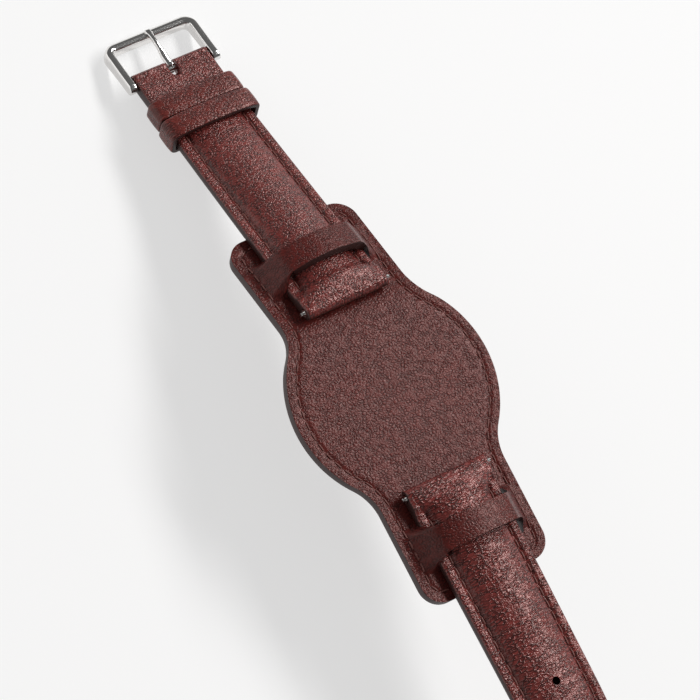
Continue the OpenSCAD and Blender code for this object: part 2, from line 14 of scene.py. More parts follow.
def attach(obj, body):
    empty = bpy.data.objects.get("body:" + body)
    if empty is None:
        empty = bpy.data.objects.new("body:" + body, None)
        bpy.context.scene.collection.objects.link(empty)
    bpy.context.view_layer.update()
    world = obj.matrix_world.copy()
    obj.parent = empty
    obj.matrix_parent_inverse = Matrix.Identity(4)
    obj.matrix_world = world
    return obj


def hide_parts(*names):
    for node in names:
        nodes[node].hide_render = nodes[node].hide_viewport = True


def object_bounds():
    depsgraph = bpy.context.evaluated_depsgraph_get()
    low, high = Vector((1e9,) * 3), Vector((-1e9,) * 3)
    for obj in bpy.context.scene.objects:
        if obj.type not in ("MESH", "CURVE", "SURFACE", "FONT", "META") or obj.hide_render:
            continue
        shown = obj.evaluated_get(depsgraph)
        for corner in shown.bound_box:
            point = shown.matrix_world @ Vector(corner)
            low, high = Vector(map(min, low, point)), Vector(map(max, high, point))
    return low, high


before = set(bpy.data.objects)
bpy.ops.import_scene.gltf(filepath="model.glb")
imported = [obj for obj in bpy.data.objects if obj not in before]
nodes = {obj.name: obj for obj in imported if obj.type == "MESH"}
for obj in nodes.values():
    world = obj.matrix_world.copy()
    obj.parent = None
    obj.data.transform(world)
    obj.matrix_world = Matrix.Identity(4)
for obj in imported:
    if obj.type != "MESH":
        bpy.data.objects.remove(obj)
cad_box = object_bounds()
MM = 0.001

# Sizes shared with the CAD frame, in millimetres
PAD_LEN = 94.0
PAD_R = 25.2
TAB_W = 33.0
TAB_CORNER_R = 5.0
HOLLOW_R = 12.0
PAD_T = 2.3
PAD_SEAM_IN = 2.4
PAD_FLAT = 13.0
BEND_R = 25.0
PAD_FALL = 0.352  # sine of the angle that the pad bends by
BRIDGE_W = 6.2
BRIDGE_AT = 34.5
SLOT_IN = 3.9
SLOT_OUT = 3.0
SLOT_LEFT = 10.4
SLOT_RIGHT = 11.6
SLOT_WEAR = 1.5  # how much longer the long strap's outer slot is worn on its right
BRIDGE_H = 8.1
BRIDGE_FOOT = 15.6
BRIDGE_SHOULDER = 8.9
BRIDGE_DOME = 0.02  # times x squared: how far a bridge's top falls away
LUG_AT = 23.0
LUG_LOOP_R = 1.75
BUCKLE_LOOP_R = 1.75
LUG_LEATHER_W = 21.6
BUCKLE_END_W = 19.9
SHORT_LEN = 75.0
LONG_LEN = 120.0
EDGE_T = 2.3
PADDING_H = 2.5
MARGIN_W = 2.9
SEAM_IN = 2.45
SEAM_DEPTH = 0.34
POINT_LEN = 15.0
SHORT_RISE = 1.0  # degrees
LONG_FLAT = 76.0
LONG_BEND = 51.6  # degrees
HOLE_N = 7
HOLE_FIRST = 50.0
HOLE_PITCH = 6.5
HOLE_D = 1.9
KEEPER_W = 5.5
KEEPER_T = 1.2
KEEPER_AT = 9.5
KEEPER_GAP = 0.4
BUCKLE_W = 24.4
ARM_W = 1.9
BUCKLE_REACH = 11.2
CROSSBAR_W = 2.3
ARM_H = 3.4
CLEAR = 0.3
BEND_Y = PAD_FLAT + BEND_R * PAD_FALL
TAB_END = PAD_LEN / 2 + 1
SHORT_END = LUG_AT - LUG_LOOP_R + SHORT_LEN
BUCKLE_AT = SHORT_END - BUCKLE_LOOP_R
LONG_END = LUG_AT - LUG_LOOP_R + LONG_LEN
FIXED_AT = SHORT_END - KEEPER_AT - KEEPER_W / 2
FLOATING_AT = FIXED_AT - KEEPER_W - KEEPER_GAP
BAR_H = CLEAR + LUG_LOOP_R

# Sizes that only the looks have, in millimetres
LOOP_EDGE_T = 3.2  # edge of a strap beside a bar
LOOP_EDGE_LEN = 2.8  # length of that thick edge
LOOP_EDGE_FADE = 2.4  # run from it to the plain edge
PADDING_START = 0.3  # share of the padding's height over the lug bar
PADDING_RUN = 4.5  # run to the full height
LONG_THIN = (34.0, 20.0)  # the long padding thins from here past the lug bar to here before the tip
SHORT_THIN = (22.0, 36.0)  # the short padding thins from here past the lug bar over this run
STRAP_SEAM_W = 0.42  # width of the straps' sunk seam line
STRAP_ROUND = (0.75, 0.5)  # rounded upper edge of the straps, across and down
STRAP_LOWER_R = 0.35  # rounded lower edge of the straps
STRAP_BULGE = 0.1  # of the straps' painted edge
BRIDGE_SPREAD = 2.6  # run over which the pad's leather climbs to a bridge
SLOT_R = 1.3  # corners of the pad's slots
PAD_SEAM = (0.26, 0.36)  # depth and width of the pad's sunk seam line
PAD_RIM_R = 0.32  # rounded edge of the pad
LUG_HOLE_R = 0.95  # hole for a lug bar in a strap's loop
BUCKLE_HOLE_R = 0.8  # hole for the buckle's bar in the loop and in the tongue
NOTCH_R = 1.3  # half width of the notch for the tongue
NOTCH_LOW = 2.0  # how far the notch reaches past the bar below it
NOTCH_HIGH = 3.2  # and above it, where the tongue swings
CUTTER_TOP = 8.0  # above all leather
CUTTER_W = 15.0  # beyond the straps' edges
FLOAT_TRAVEL = 10.0  # of the floating keeper, towards the lug
STRAP_STITCH = (3.0, 0.13, 0.87)  # pitch, and the shares of it where a stitch starts and ends
PAD_STITCH = (2.7, 0.12, 0.88)


def smooth(u):
    """The S-curve 3u^2 - 2u^3 of u held between 0 and 1."""
    v = np.clip(u, 0, 1)
    return v * v * (3 - 2 * v)


def mix(a, b, u):
    """From a to b as u goes from 0 to 1."""
    return a + (b - a) * np.clip(u, 0, 1)


def onward(p, run, turn):
    """From the place p = (y, z, slope) along an arc of length run that turns by turn radians in all."""
    y, z, a = p
    turn = np.where(np.abs(turn) < 1e-9, 1e-9, turn)
    r = np.maximum(run, 1e-9) / turn
    return y + r * (np.sin(a + turn) - np.sin(a)), z - r * (np.cos(a + turn) - np.cos(a)), a + turn


def place(t):
    """Spot (y, z) and slope of the bent line at t: flat in the middle, an arc at the pad's bend, straight
    to the pad's end and a slow rise to the buckle, and on the other side flat, then an arc downwards."""
    t = np.asarray(t, float)
    bend = np.arcsin(np.clip((t - PAD_FLAT) / BEND_R, 0, PAD_FALL))
    y = np.minimum(t, BEND_Y)
    z = -BEND_R * (1 - np.cos(bend))
    a = -bend
    run = np.clip(t - BEND_Y, 0, TAB_END - BEND_Y)
    y, z = y + run * np.cos(a), z + run * np.sin(a)
    rise = math.radians(SHORT_RISE)
    run = np.clip(t - TAB_END, 0, SHORT_END - TAB_END)
    y, z, a = onward((y, z, a), run, run / (SHORT_END - TAB_END) * rise)
    run = np.maximum(t - SHORT_END, 0)
    y, z = y + run * np.cos(a), z + run * np.sin(a)
    back = np.maximum(-t - LONG_FLAT, 0)
    turn = -math.radians(LONG_BEND) * back / (LONG_END - LONG_FLAT)
    by, bz, ba = onward((np.minimum(-t, LONG_FLAT), 0 * t, 0 * t), back, turn)
    far = t < 0
    return np.where(far, -by, y), np.where(far, bz, z), np.where(far, -ba, a)


def bend(x, t, h):
    """Points in millimetres of the flat points (x, t, h): h is raised square to the bent line at t."""
    x, t, h = np.broadcast_arrays(np.asarray(x, float), t, h)
    y, z, a = place(t)
    return np.stack([x, y - h * np.sin(a), z + h * np.cos(a)], -1)


def rigid(x, y, z, t, h):
    """Points in millimetres of a piece drawn in its own frame, set down at t and h as one rigid piece."""
    py, pz, a = (float(v) for v in place(t))
    y0, z0 = py - h * math.sin(a), pz + h * math.cos(a)
    x, y, z = np.broadcast_arrays(np.asarray(x, float), y, z)
    return np.stack([x, y0 + y * math.cos(a) - z * math.sin(a), z0 + y * math.sin(a) + z * math.cos(a)], -1)


# Meshes

def mesh_piece(name, points, faces, materials, slots=None, uv=None, body=None, merge=True):
    """An object from points in millimetres and faces, with a material's number for each face and a flat place
    for each vertex. Doubles within a thousandth of a millimetre are merged, which closes the seams."""
    mesh = bpy.data.meshes.new(name)
    faces = faces.tolist() if hasattr(faces, "tolist") else faces
    mesh.from_pydata((np.asarray(points) * MM).tolist(), [], faces)
    for material in materials:
        mesh.materials.append(material)
    if slots is not None:
        mesh.polygons.foreach_set("material_index", np.asarray(slots, np.int32))
    if uv is not None:
        layer = mesh.uv_layers.new(name="flat")
        index = np.zeros(len(mesh.loops), np.int32)
        mesh.loops.foreach_get("vertex_index", index)
        layer.data.foreach_set("uv", np.asarray(uv, np.float32)[index].ravel())
    mesh.polygons.foreach_set("use_smooth", np.ones(len(mesh.polygons), bool))
    mesh.update()
    obj = bpy.data.objects.new(name, mesh)
    bpy.context.scene.collection.objects.link(obj)
    if merge:
        bm = bmesh.new()
        bm.from_mesh(mesh)
        bmesh.ops.remove_doubles(bm, verts=bm.verts, dist=1e-6)
        bmesh.ops.dissolve_degenerate(bm, edges=bm.edges, dist=1e-7)
        bm.to_mesh(mesh)
        bm.free()
    if body:
        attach(obj, body)
    return obj


def grid_faces(rows, cols, wrap_rows=False, wrap_cols=False):
    """Quads of a rows by cols grid of vertices, closed round either way where it wraps."""
    i = np.arange(rows if wrap_rows else rows - 1)[:, None]
    j = np.arange(cols if wrap_cols else cols - 1)[None, :]
    a = i * cols + j
    b = i * cols + (j + 1) % cols
    c = ((i + 1) % rows) * cols + (j + 1) % cols
    d = ((i + 1) % rows) * cols + j
    return np.stack([a, b, c, d], -1).reshape(-1, 4)


def outline_distance(x, t, line):
    """Shortest distance from each point (x, t) to a polyline, taken over its segments."""
    p = np.stack([x.ravel(), t.ravel()], -1)
    a, b = line[:-1], line[1:]
    d = b - a
    best = np.full(len(p), 1e9)
    for k in range(0, len(p), 4000):
        q = p[k:k + 4000, None, :] - a[None]
        u = np.clip((q * d).sum(-1) / np.maximum((d * d).sum(-1), 1e-12), 0, 1)
        best[k:k + 4000] = np.sqrt(((q - u[..., None] * d) ** 2).sum(-1)).min(-1)
    return best.reshape(x.shape)


def rim(d, r, power=2.6):
    """Rounded edge: 0 on the outline, 1 from r inwards, along a superellipse."""
    u = 1 - np.clip(d / r, 0, 1)
    return (1 - u ** power) ** (1 / power)


# Straps

def half_w(t):
    """Half width of the strap leather: even taper from the lug end to the buckle end."""
    return mix(LUG_LEATHER_W, BUCKLE_END_W, (np.abs(t) - LUG_AT + LUG_LOOP_R) / SHORT_LEN) / 2


def long_half_w(t):
    """Half width of the long strap, times the square root of 1 - u^2.4 over the point."""
    u = np.clip((np.abs(t) - LONG_END) / POINT_LEN + 1, 0, 1)
    return half_w(t) * np.sqrt(1 - u ** 2.4)


def crown(u):
    """Padding under tight leather: (1 - u^2)^0.62 across, 0 beyond u = 1."""
    return np.clip(1 - u * u, 0, 1) ** 0.62


def lug_rise(t):
    """Height of the padding: it starts low over the lug bar and reaches its full height further on."""
    full = smooth((np.abs(t) - LUG_AT - 0.4) / PADDING_RUN)
    return PADDING_H * (PADDING_START + (1 - PADDING_START) * full)


def lug_margin(t):
    """Width of the margin: 1 mm where the leather turns round the lug bar, and full 7 mm further on."""
    return mix(1.0, MARGIN_W, (np.abs(t) - LUG_AT - 1.5) / 5.5)


def lug_seam(t):
    """Depth of the sunk seam line: full 5.5 mm from the lug bar, and none within 3 mm of it."""
    return SEAM_DEPTH * smooth((np.abs(t) - LUG_AT - 3) / 2.5)


def long_form(t):
    """Edge thickness, padding height, depth of the seam line and width of the margin of the long strap."""
    a = np.abs(t)
    start, stop = LONG_THIN
    edge = mix(LOOP_EDGE_T, EDGE_T, (a - LUG_AT - LOOP_EDGE_LEN) / LOOP_EDGE_FADE)
    pad = lug_rise(t) * mix(1, 0, (a - LUG_AT - start) / (LONG_END - LUG_AT - start - stop))
    return edge, pad, lug_seam(t), lug_margin(t)


def short_form(t):
    """Edge thickness, padding height, depth of the seam line and width of the margin of the short strap,
    whose padding thins to a half and ends under the keepers, as the seam does."""
    start, run = SHORT_THIN
    lug = mix(LOOP_EDGE_T, EDGE_T, (t - LUG_AT - LOOP_EDGE_LEN) / LOOP_EDGE_FADE)
    buckle = mix(EDGE_T, LOOP_EDGE_T, (t - FLOATING_AT) / (BUCKLE_AT - LOOP_EDGE_LEN - FLOATING_AT))
    pad = lug_rise(t) * mix(1, 0.5, (t - LUG_AT - start) / run) * (1 - smooth((t - FLOATING_AT + 1.5) / 4))
    seam = lug_seam(t) * (1 - smooth((t - FLOATING_AT - 0.5) / 1.5))
    return np.where(t < FLOATING_AT, lug, buckle), pad, seam, lug_margin(t)


def strap_top(x, w, edge, pad, depth, margin):
    """Height of the strap's top: the flat margin, a crown inside it, the sunk seam line between the two,
    as a bell curve that runs out where the point gets narrow, and a rounded outer edge."""
    a = np.maximum(w - margin, 0.4 * w)
    d = w - np.abs(x)
    swell = pad * crown(x / np.maximum(a, 1e-6))
    seam = depth * np.exp(-((d - SEAM_IN) / STRAP_SEAM_W) ** 2) * smooth((w - 3.2) / 2)
    return CLEAR + edge + swell - seam - STRAP_ROUND[1] * (1 - rim(d, STRAP_ROUND[0]))


# Vertices of a section: their distances from the edge over the margin, and the numbers of vertices over
# the crown, down a side, across the lining and round a lower edge
MARGIN_U = np.concatenate([np.linspace(0, 0.9, 7), np.linspace(1.05, 3.6, 18)])
CROWN_N = 30
SIDE_N = 6
LINING_N = 20
TURN_N = 4


def strap_rows(w, edge, pad, depth, margin):
    """Closed sections of a strap, one row for each entry of w: across the top from left to right, down
    the right edge, back along the lining and up the left edge. Returns x, h and the material's number."""
    w, edge, pad, depth, margin = (
        np.asarray(v, float)[:, None] for v in np.broadcast_arrays(w, edge, pad, depth, margin))
    scale = np.minimum(1, w / 6)
    left = -w + MARGIN_U * scale
    middle = np.linspace(0, 1, CROWN_N + 2)[1:-1]
    inner = w - MARGIN_U[-1] * scale
    x = np.concatenate([left, -inner + 2 * inner * middle, -left[:, ::-1]], 1)
    h = strap_top(x, w, edge, pad, depth, margin)
    side = np.linspace(0, 1, SIDE_N + 2)[1:-1]
    high, low = h[:, :1], CLEAR + STRAP_LOWER_R + 0 * w
    bulge = STRAP_BULGE * np.sin(np.pi * side)
    right_x, right_h = w + bulge * scale, high + (low - high) * side
    turn = np.linspace(0, math.pi / 2, TURN_N)
    r = STRAP_LOWER_R * scale
    low_x = w - r + r * np.cos(turn)
    low_h = CLEAR + STRAP_LOWER_R - STRAP_LOWER_R * np.sin(turn) + 0 * w
    back = np.linspace(0, 1, LINING_N + 2)[1:-1]
    bottom_x = (w - r) * (1 - 2 * back)
    bottom_h = CLEAR + 0 * bottom_x
    xs = np.concatenate([x, right_x, low_x, bottom_x, -low_x[:, ::-1], -right_x[:, ::-1]], 1)
    hs = np.concatenate([h, right_h, low_h, bottom_h, low_h[:, ::-1], right_h[:, ::-1]], 1)
    edge_n = SIDE_N + TURN_N
    kind = np.repeat([0, 1, 2, 1], [x.shape[1] - 1, edge_n, LINING_N + 1, edge_n])
    return xs, hs, kind


def loop_rows(at, r, dir, n=9):
    """Rows of the leather's turn round a bar: a half circle of radius r about the bar's height, from
    over the bar to the end of the leather. Returns t, upper h and lower h."""
    a = np.linspace(0, math.pi / 2, n)[1:]
    t = at + dir * r * np.sin(a)
    return t, BAR_H + r * np.cos(a), BAR_H - r * np.cos(a)


def strap(name, ts, width, form, loops, body, materials):
    """A strap's closed surface from its rows of sections. At a loop the section's height is drawn in to the
    half circle, so that the last row closes on itself."""
    t = np.asarray(ts, float)
    xs, hs, kind = strap_rows(width(t), *form(t))
    ts_all = np.repeat(t[:, None], xs.shape[1], 1)
    for at, r, dir, first in loops:
        lt, up, low = loop_rows(at, r, dir)
        w = width(np.full(len(lt), at))
        x2, h2, _ = strap_rows(w, 2 * r, 0, 0, 1)
        share = (h2 - CLEAR) / (2 * r)
        h2 = low[:, None] + share * (up - low)[:, None]
        t2 = np.repeat(lt[:, None], xs.shape[1], 1)
        xs, hs, ts_all = (np.concatenate([b[::-1], a] if first else [a, b])
                          for a, b in ((xs, x2), (hs, h2), (ts_all, t2)))
    rows, cols = xs.shape
    faces = grid_faces(rows, cols, wrap_cols=True)
    slots = np.tile(kind, rows - 1)
    points = bend(xs, ts_all, hs).reshape(-1, 3)
    uv = np.stack([np.where(kind[None] == 1, xs + hs, xs), ts_all], -1).reshape(-1, 2)
    return mesh_piece(name, points, faces, materials, slots, uv, body)


def cut(obj, *cutters):
    """Cuts closed solids out of a piece with exact Booleans, applied at once."""
    for cutter in cutters:
        mod = obj.modifiers.new("cut", "BOOLEAN")
        mod.operation, mod.solver, mod.object = "DIFFERENCE", "EXACT", cutter
        with bpy.context.temp_override(object=obj, active_object=obj, selected_objects=[obj]):
            bpy.context.view_layer.update()
            bpy.ops.object.modifier_apply(modifier="cut")
        bpy.data.objects.remove(cutter)
    return obj


def prism(ring, place_ring, lo, hi):
    """A closed solid from a closed flat ring of two-number points, carried from lo to hi by place_ring."""
    k = len(ring)
    points = np.concatenate([place_ring(ring, lo), place_ring(ring, hi)])
    faces = grid_faces(2, k, wrap_cols=True).tolist()
    faces += [list(range(k))[::-1], list(range(k, 2 * k))]
    obj = mesh_piece("cutter", points, faces, [], merge=False)
    bm = bmesh.new()
    bm.from_mesh(obj.data)
    bmesh.ops.recalc_face_normals(bm, faces=bm.faces)
    bm.to_mesh(obj.data)
    bm.free()
    return obj


def circle(r, n=32):
    """Points round a circle."""
    a = np.arange(n) * 2 * math.pi / n
    return np.stack([r * np.cos(a), r * np.sin(a)], -1)


def upright(t):
    """Places ring points (x, along) about t at height z above the line there, as one rigid piece."""
    return lambda ring, z: rigid(ring[:, 0], ring[:, 1], z, t, 0)


def crosswise(t, h):
    """Places ring points (along, up) about t and h at the place x across the strap."""
    return lambda ring, x: rigid(x, ring[:, 0], ring[:, 1], t, h)


def spaced(*stops):
    """Values from stop to stop: spaced(a, b, n, c, m) runs a to b in n steps, then to c in m steps."""
    out = [np.array([stops[0]])]
    at = stops[0]
    for to, n in zip(stops[1::2], stops[2::2]):
        out.append(np.linspace(at, to, n + 1)[1:])
        at = to
    return np.concatenate(out)


# Threads

def thread_row(name, starts, ends, lift, r, body, cad_node, sink=0.0):
    """Stitches as short capsules: each is a tube of eight sides from a start to an end place (x, t, h), whose
    radius is a half circle at both ends and whose middle is lifted by a half sine."""
    u = np.concatenate([[0, 0.03, 0.1], np.linspace(0.22, 0.78, 5), [0.9, 0.97, 1]])
    a = np.arange(8) * 2 * math.pi / 8
    c, s = np.cos(a)[:, None], np.sin(a)[:, None]
    span = np.linalg.norm(ends - starts, axis=1)[:, None]
    near = np.minimum(u, 1 - u)[None] * span
    radius = r * np.sqrt(np.clip(1 - (1 - np.clip(near / r, 0, 1)) ** 2, 0, 1))
    mid = starts[:, None] + (ends - starts)[:, None] * u[None, :, None]
    mid[..., 2] += lift * np.sin(np.pi * u)[None] - sink
    along = (ends - starts) / span
    side = np.stack([along[:, 1], -along[:, 0], 0 * along[:, 0]], -1)
    side /= np.linalg.norm(side, axis=1)[:, None]
    around = c * side[:, None, None] + s * np.array([0, 0, 1.0])
    ring = mid[:, :, None] + radius[..., None, None] * around
    points = bend(ring[..., 0], ring[..., 1], ring[..., 2])
    count, rows, cols = ring.shape[:3]
    one = grid_faces(rows, cols, wrap_cols=True)
    faces = (one[None] + (np.arange(count) * rows * cols)[:, None, None]).reshape(-1, 4)
    uv = np.stack([np.broadcast_to(u[None, :, None] * span[..., None], ring.shape[:3]),
                   np.broadcast_to(a[None, None], ring.shape[:3]) * r], -1).reshape(-1, 2)
    obj = mesh_piece(name, points.reshape(-1, 3), faces, [THREAD], uv=uv, body=body)
    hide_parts(cad_node)
    return obj


# Wrist pad

HOLLOW_Y = math.sqrt((PAD_R + HOLLOW_R) ** 2 - (TAB_W / 2 + HOLLOW_R) ** 2)
HOLLOW_FROM = HOLLOW_Y * PAD_R / (PAD_R + HOLLOW_R)


def pad_half_w(t):
    """Half width of the pad: the round middle, a hollow arc at the waist, the straight tab, its corner."""
    t = np.abs(t)
    disc = np.sqrt(np.clip(PAD_R ** 2 - t ** 2, 0, None))
    waist = TAB_W / 2 + HOLLOW_R - np.sqrt(np.clip(HOLLOW_R ** 2 - (t - HOLLOW_Y) ** 2, 0, None))
    corner = TAB_W / 2 - TAB_CORNER_R + np.sqrt(
        np.clip(TAB_CORNER_R ** 2 - np.clip(t - PAD_LEN / 2 + TAB_CORNER_R, 0, TAB_CORNER_R) ** 2, 0, None))
    return np.where(t < HOLLOW_FROM, disc, np.where(t < HOLLOW_Y, waist, corner))


def bridge_top(x):
    """Height of a bridge: a flat dome between the shoulders, down to the pad in an S-curve."""
    climb = smooth((BRIDGE_FOOT - np.abs(x)) / (BRIDGE_FOOT - BRIDGE_SHOULDER))
    return (BRIDGE_H - BRIDGE_DOME * x * x) * climb


def pad_lift(x, t):
    """Height of the pad's own leather, which climbs to the bridge beside the slots, on both sides of it."""
    d = np.abs(np.abs(t) - BRIDGE_AT)
    return bridge_top(x) * smooth((BRIDGE_W / 2 + BRIDGE_SPREAD - d) / BRIDGE_SPREAD)


# The slots beside a bridge run from and to these distances from the pad's middle
SLOTS = [(BRIDGE_AT - BRIDGE_W / 2 - SLOT_IN, BRIDGE_AT - BRIDGE_W / 2),
         (BRIDGE_AT + BRIDGE_W / 2, BRIDGE_AT + BRIDGE_W / 2 + SLOT_OUT)]


def slot_half_w(t, reach):
    """Distance from the middle to the line that the slots end on: reach, drawn in by a quarter circle at
    each corner of a slot and by an S-curve back to it beside the slots, inside three quarters of the pad."""
    t = np.abs(t)
    r = SLOT_R
    into = np.full(t.shape, np.inf)
    for a, b in SLOTS:
        inside = (t >= a - 1e-6) & (t <= b + 1e-6)
        into = np.minimum(into, np.where(inside, np.minimum(t - a, b - t), np.inf))
    pull = r - np.sqrt(np.clip(r * r - np.clip(r - into, 0, r) ** 2, 0, None))
    gap = np.minimum(np.abs(t - SLOTS[0][0]), np.abs(t - SLOTS[1][1]))
    outside = (t < SLOTS[0][0]) | (t > SLOTS[1][1])
    pull = np.where(outside, r * smooth(1 - gap / 2.5), pull)
    under = (t > SLOTS[0][1]) & (t < SLOTS[1][0])
    pull = np.where(under, r * smooth(1 - np.minimum(t - SLOTS[0][1], SLOTS[1][0] - t) / 1.5), pull)
    return np.minimum(reach - pull, 0.75 * pad_half_w(t))


def pad_outline(n=240):
    """The pad's outline as a closed polyline in (x, t)."""
    t = PAD_LEN / 2 * np.sin(np.linspace(-math.pi / 2, math.pi / 2, n))
    w = pad_half_w(t)
    right = np.stack([w, t], -1)
    return np.concatenate([right, right[::-1] * [-1, 1], right[:1]])


def pad_piece(materials):
    """The pad as one bent sheet with its two bridges: a grid whose columns follow the slots and the outline
    and whose rows follow the bridges, with the slot cells left out, then given its thickness and a rounded
    rim. A sunk line follows the outline where the seam is."""
    corner_at = PAD_LEN / 2 - TAB_CORNER_R
    half = spaced(0, 16, 40, SLOTS[0][0], 26, SLOTS[0][1], 12, SLOTS[1][0], 16, SLOTS[1][1], 10, corner_at, 4)
    corner = corner_at + TAB_CORNER_R * np.sin(np.linspace(0, math.pi / 2, 16))[1:]
    half = np.concatenate([half, corner])
    t = np.concatenate([-half[:0:-1], half])
    # Columns: even between the slots' ends, and closer together from there towards the outline
    inner = np.linspace(-1, 1, 61)
    even = np.linspace(0, 1, 22)[1:]
    outer = 0.35 * even + 0.65 * (1 - (1 - even) ** 1.8)
    w = pad_half_w(t)[:, None]
    s1 = slot_half_w(t, SLOT_LEFT)[:, None]
    s2 = slot_half_w(t, SLOT_RIGHT + SLOT_WEAR * smooth((-t - BRIDGE_AT + 1) / 3))[:, None]
    x = np.concatenate([-(s1 + (w - s1) * outer[None])[:, ::-1], (s2 + s1) / 2 * inner[None] + (s2 - s1) / 2,
                        s2 + (w - s2) * outer[None]], 1)
    tt = np.repeat(t[:, None], x.shape[1], 1)
    d = outline_distance(x, tt, pad_outline())
    h = pad_lift(x, tt) - PAD_SEAM[0] * np.exp(-((d - PAD_SEAM_IN) / PAD_SEAM[1]) ** 2)
    points = bend(x, tt, h).reshape(-1, 3)
    rows, cols = x.shape
    faces = grid_faces(rows, cols)
    mid_t = np.abs((t[:-1] + t[1:]) / 2)
    gone_row = np.zeros(rows - 1, bool)
    for a, b in SLOTS:
        gone_row |= (mid_t > a) & (mid_t < b)
    col = np.arange(cols - 1)
    gone_col = (col >= len(outer)) & (col < len(outer) + len(inner) - 1)
    keep = ~(gone_row[:, None] & gone_col[None]).ravel()
    faces = faces[keep]
    used = np.unique(faces)
    number = np.zeros(rows * cols, int)
    number[used] = np.arange(len(used))
    steps = np.hypot(np.diff(x, axis=1), np.diff(h, axis=1))
    run = np.concatenate([np.zeros((rows, 1)), np.cumsum(steps, 1)], 1)
    uv = np.stack([run - run[:, cols // 2:cols // 2 + 1], tt], -1).reshape(-1, 2)
    obj = mesh_piece("wrist_pad", points[used], number[faces], materials, uv=uv[used], body="pad")
    shell = obj.modifiers.new("thickness", "SOLIDIFY")
    shell.thickness, shell.offset = PAD_T * MM, -1
    shell.use_even_offset = True
    shell.material_offset, shell.material_offset_rim = 2, 1
    rounded = obj.modifiers.new("rim", "BEVEL")
    rounded.width, rounded.segments, rounded.limit_method = PAD_RIM_R * MM, 3, "ANGLE"
    rounded.angle_limit = math.radians(50)
    rounded.harden_normals = False
    return obj


# Keepers

def keeper(name, t, w, low, side, mid, body, materials):
    """A keeper's band: a closed path round the strap, w to each side and low below, with small corners there,
    and arched above as side + (mid - side) sin^0.8. It carries a section with finely rounded inner edges,
    softly rounded outer ones and a swelling outer face."""
    a = np.linspace(0, math.pi, 49)
    arch_x, arch_h = w * np.cos(a), side + (mid - side) * np.sin(a) ** 0.8
    r = 0.5
    turn = np.linspace(0, math.pi / 2, 7)[1:]
    left_x = np.concatenate([np.full(8, -w), -w + r * (1 - np.cos(turn))])
    left_h = np.concatenate([np.linspace(side, low + r, 9)[1:], low + r - r * np.sin(turn)])
    floor_x = np.linspace(-w + r, w - r, 22)[1:]
    px = np.concatenate([arch_x, left_x, floor_x, -left_x[-2::-1]])
    ph = np.concatenate([arch_h, left_h, np.full(21, low), left_h[-2::-1]])
    path = np.stack([px, ph], -1)
    path = path[np.concatenate([[True], np.linalg.norm(np.diff(path, axis=0), axis=1) > 1e-4])]
    step = np.roll(path, -1, 0) - np.roll(path, 1, 0)
    out = np.stack([step[:, 1], -step[:, 0]], -1)
    out /= np.linalg.norm(out, axis=1)[:, None]
    half, thick, soft, fine, swell = KEEPER_W / 2, KEEPER_T, 0.42, 0.2, 0.13
    q = np.linspace(0, math.pi / 2, 6)
    inside = np.linspace(-half + fine, half - fine, 10)
    outside = np.linspace(half - soft, -half + soft, 14)
    along = np.concatenate([
        inside, half - fine + fine * np.sin(q[1:]), half - soft + soft * np.cos(q[:-1]),
        outside, -half + soft - soft * np.sin(q[1:]), -half + fine - fine * np.cos(q[:-1])])
    rise = np.concatenate([
        0 * inside, fine - fine * np.cos(q[1:]), thick - soft + soft * np.sin(q[:-1]),
        thick + swell * (1 - (outside / half) ** 2), thick - soft + soft * np.cos(q[1:]),
        fine - fine * np.sin(q[:-1])])
    x = path[:, :1] + out[:, :1] * rise[None]
    h = path[:, 1:] + out[:, 1:] * rise[None]
    y = np.broadcast_to(along[None], x.shape)
    points = rigid(x, y, h, t, 0).reshape(-1, 3)
    rows, cols = x.shape
    faces = grid_faces(rows, cols, wrap_rows=True, wrap_cols=True)[:, ::-1]
    # Lining inside, leather outside and over the soft edges, paint on the fine ones
    j = np.arange(cols)
    kind = np.where(j < len(inside), 2, np.where((j >= 14) & (j < 36), 0, 1))
    length = np.concatenate([[0], np.cumsum(np.linalg.norm(np.diff(path, axis=0), axis=1))])
    uv = np.stack([np.broadcast_to(length[:, None], x.shape), y], -1).reshape(-1, 2)
    obj = mesh_piece(name, points, faces, materials, np.tile(kind, rows), uv, body)
    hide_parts(name.replace("_band", ""))
    return obj


# Buckle, drawn about the middle of its bar: x across, y towards the crossbar, z up

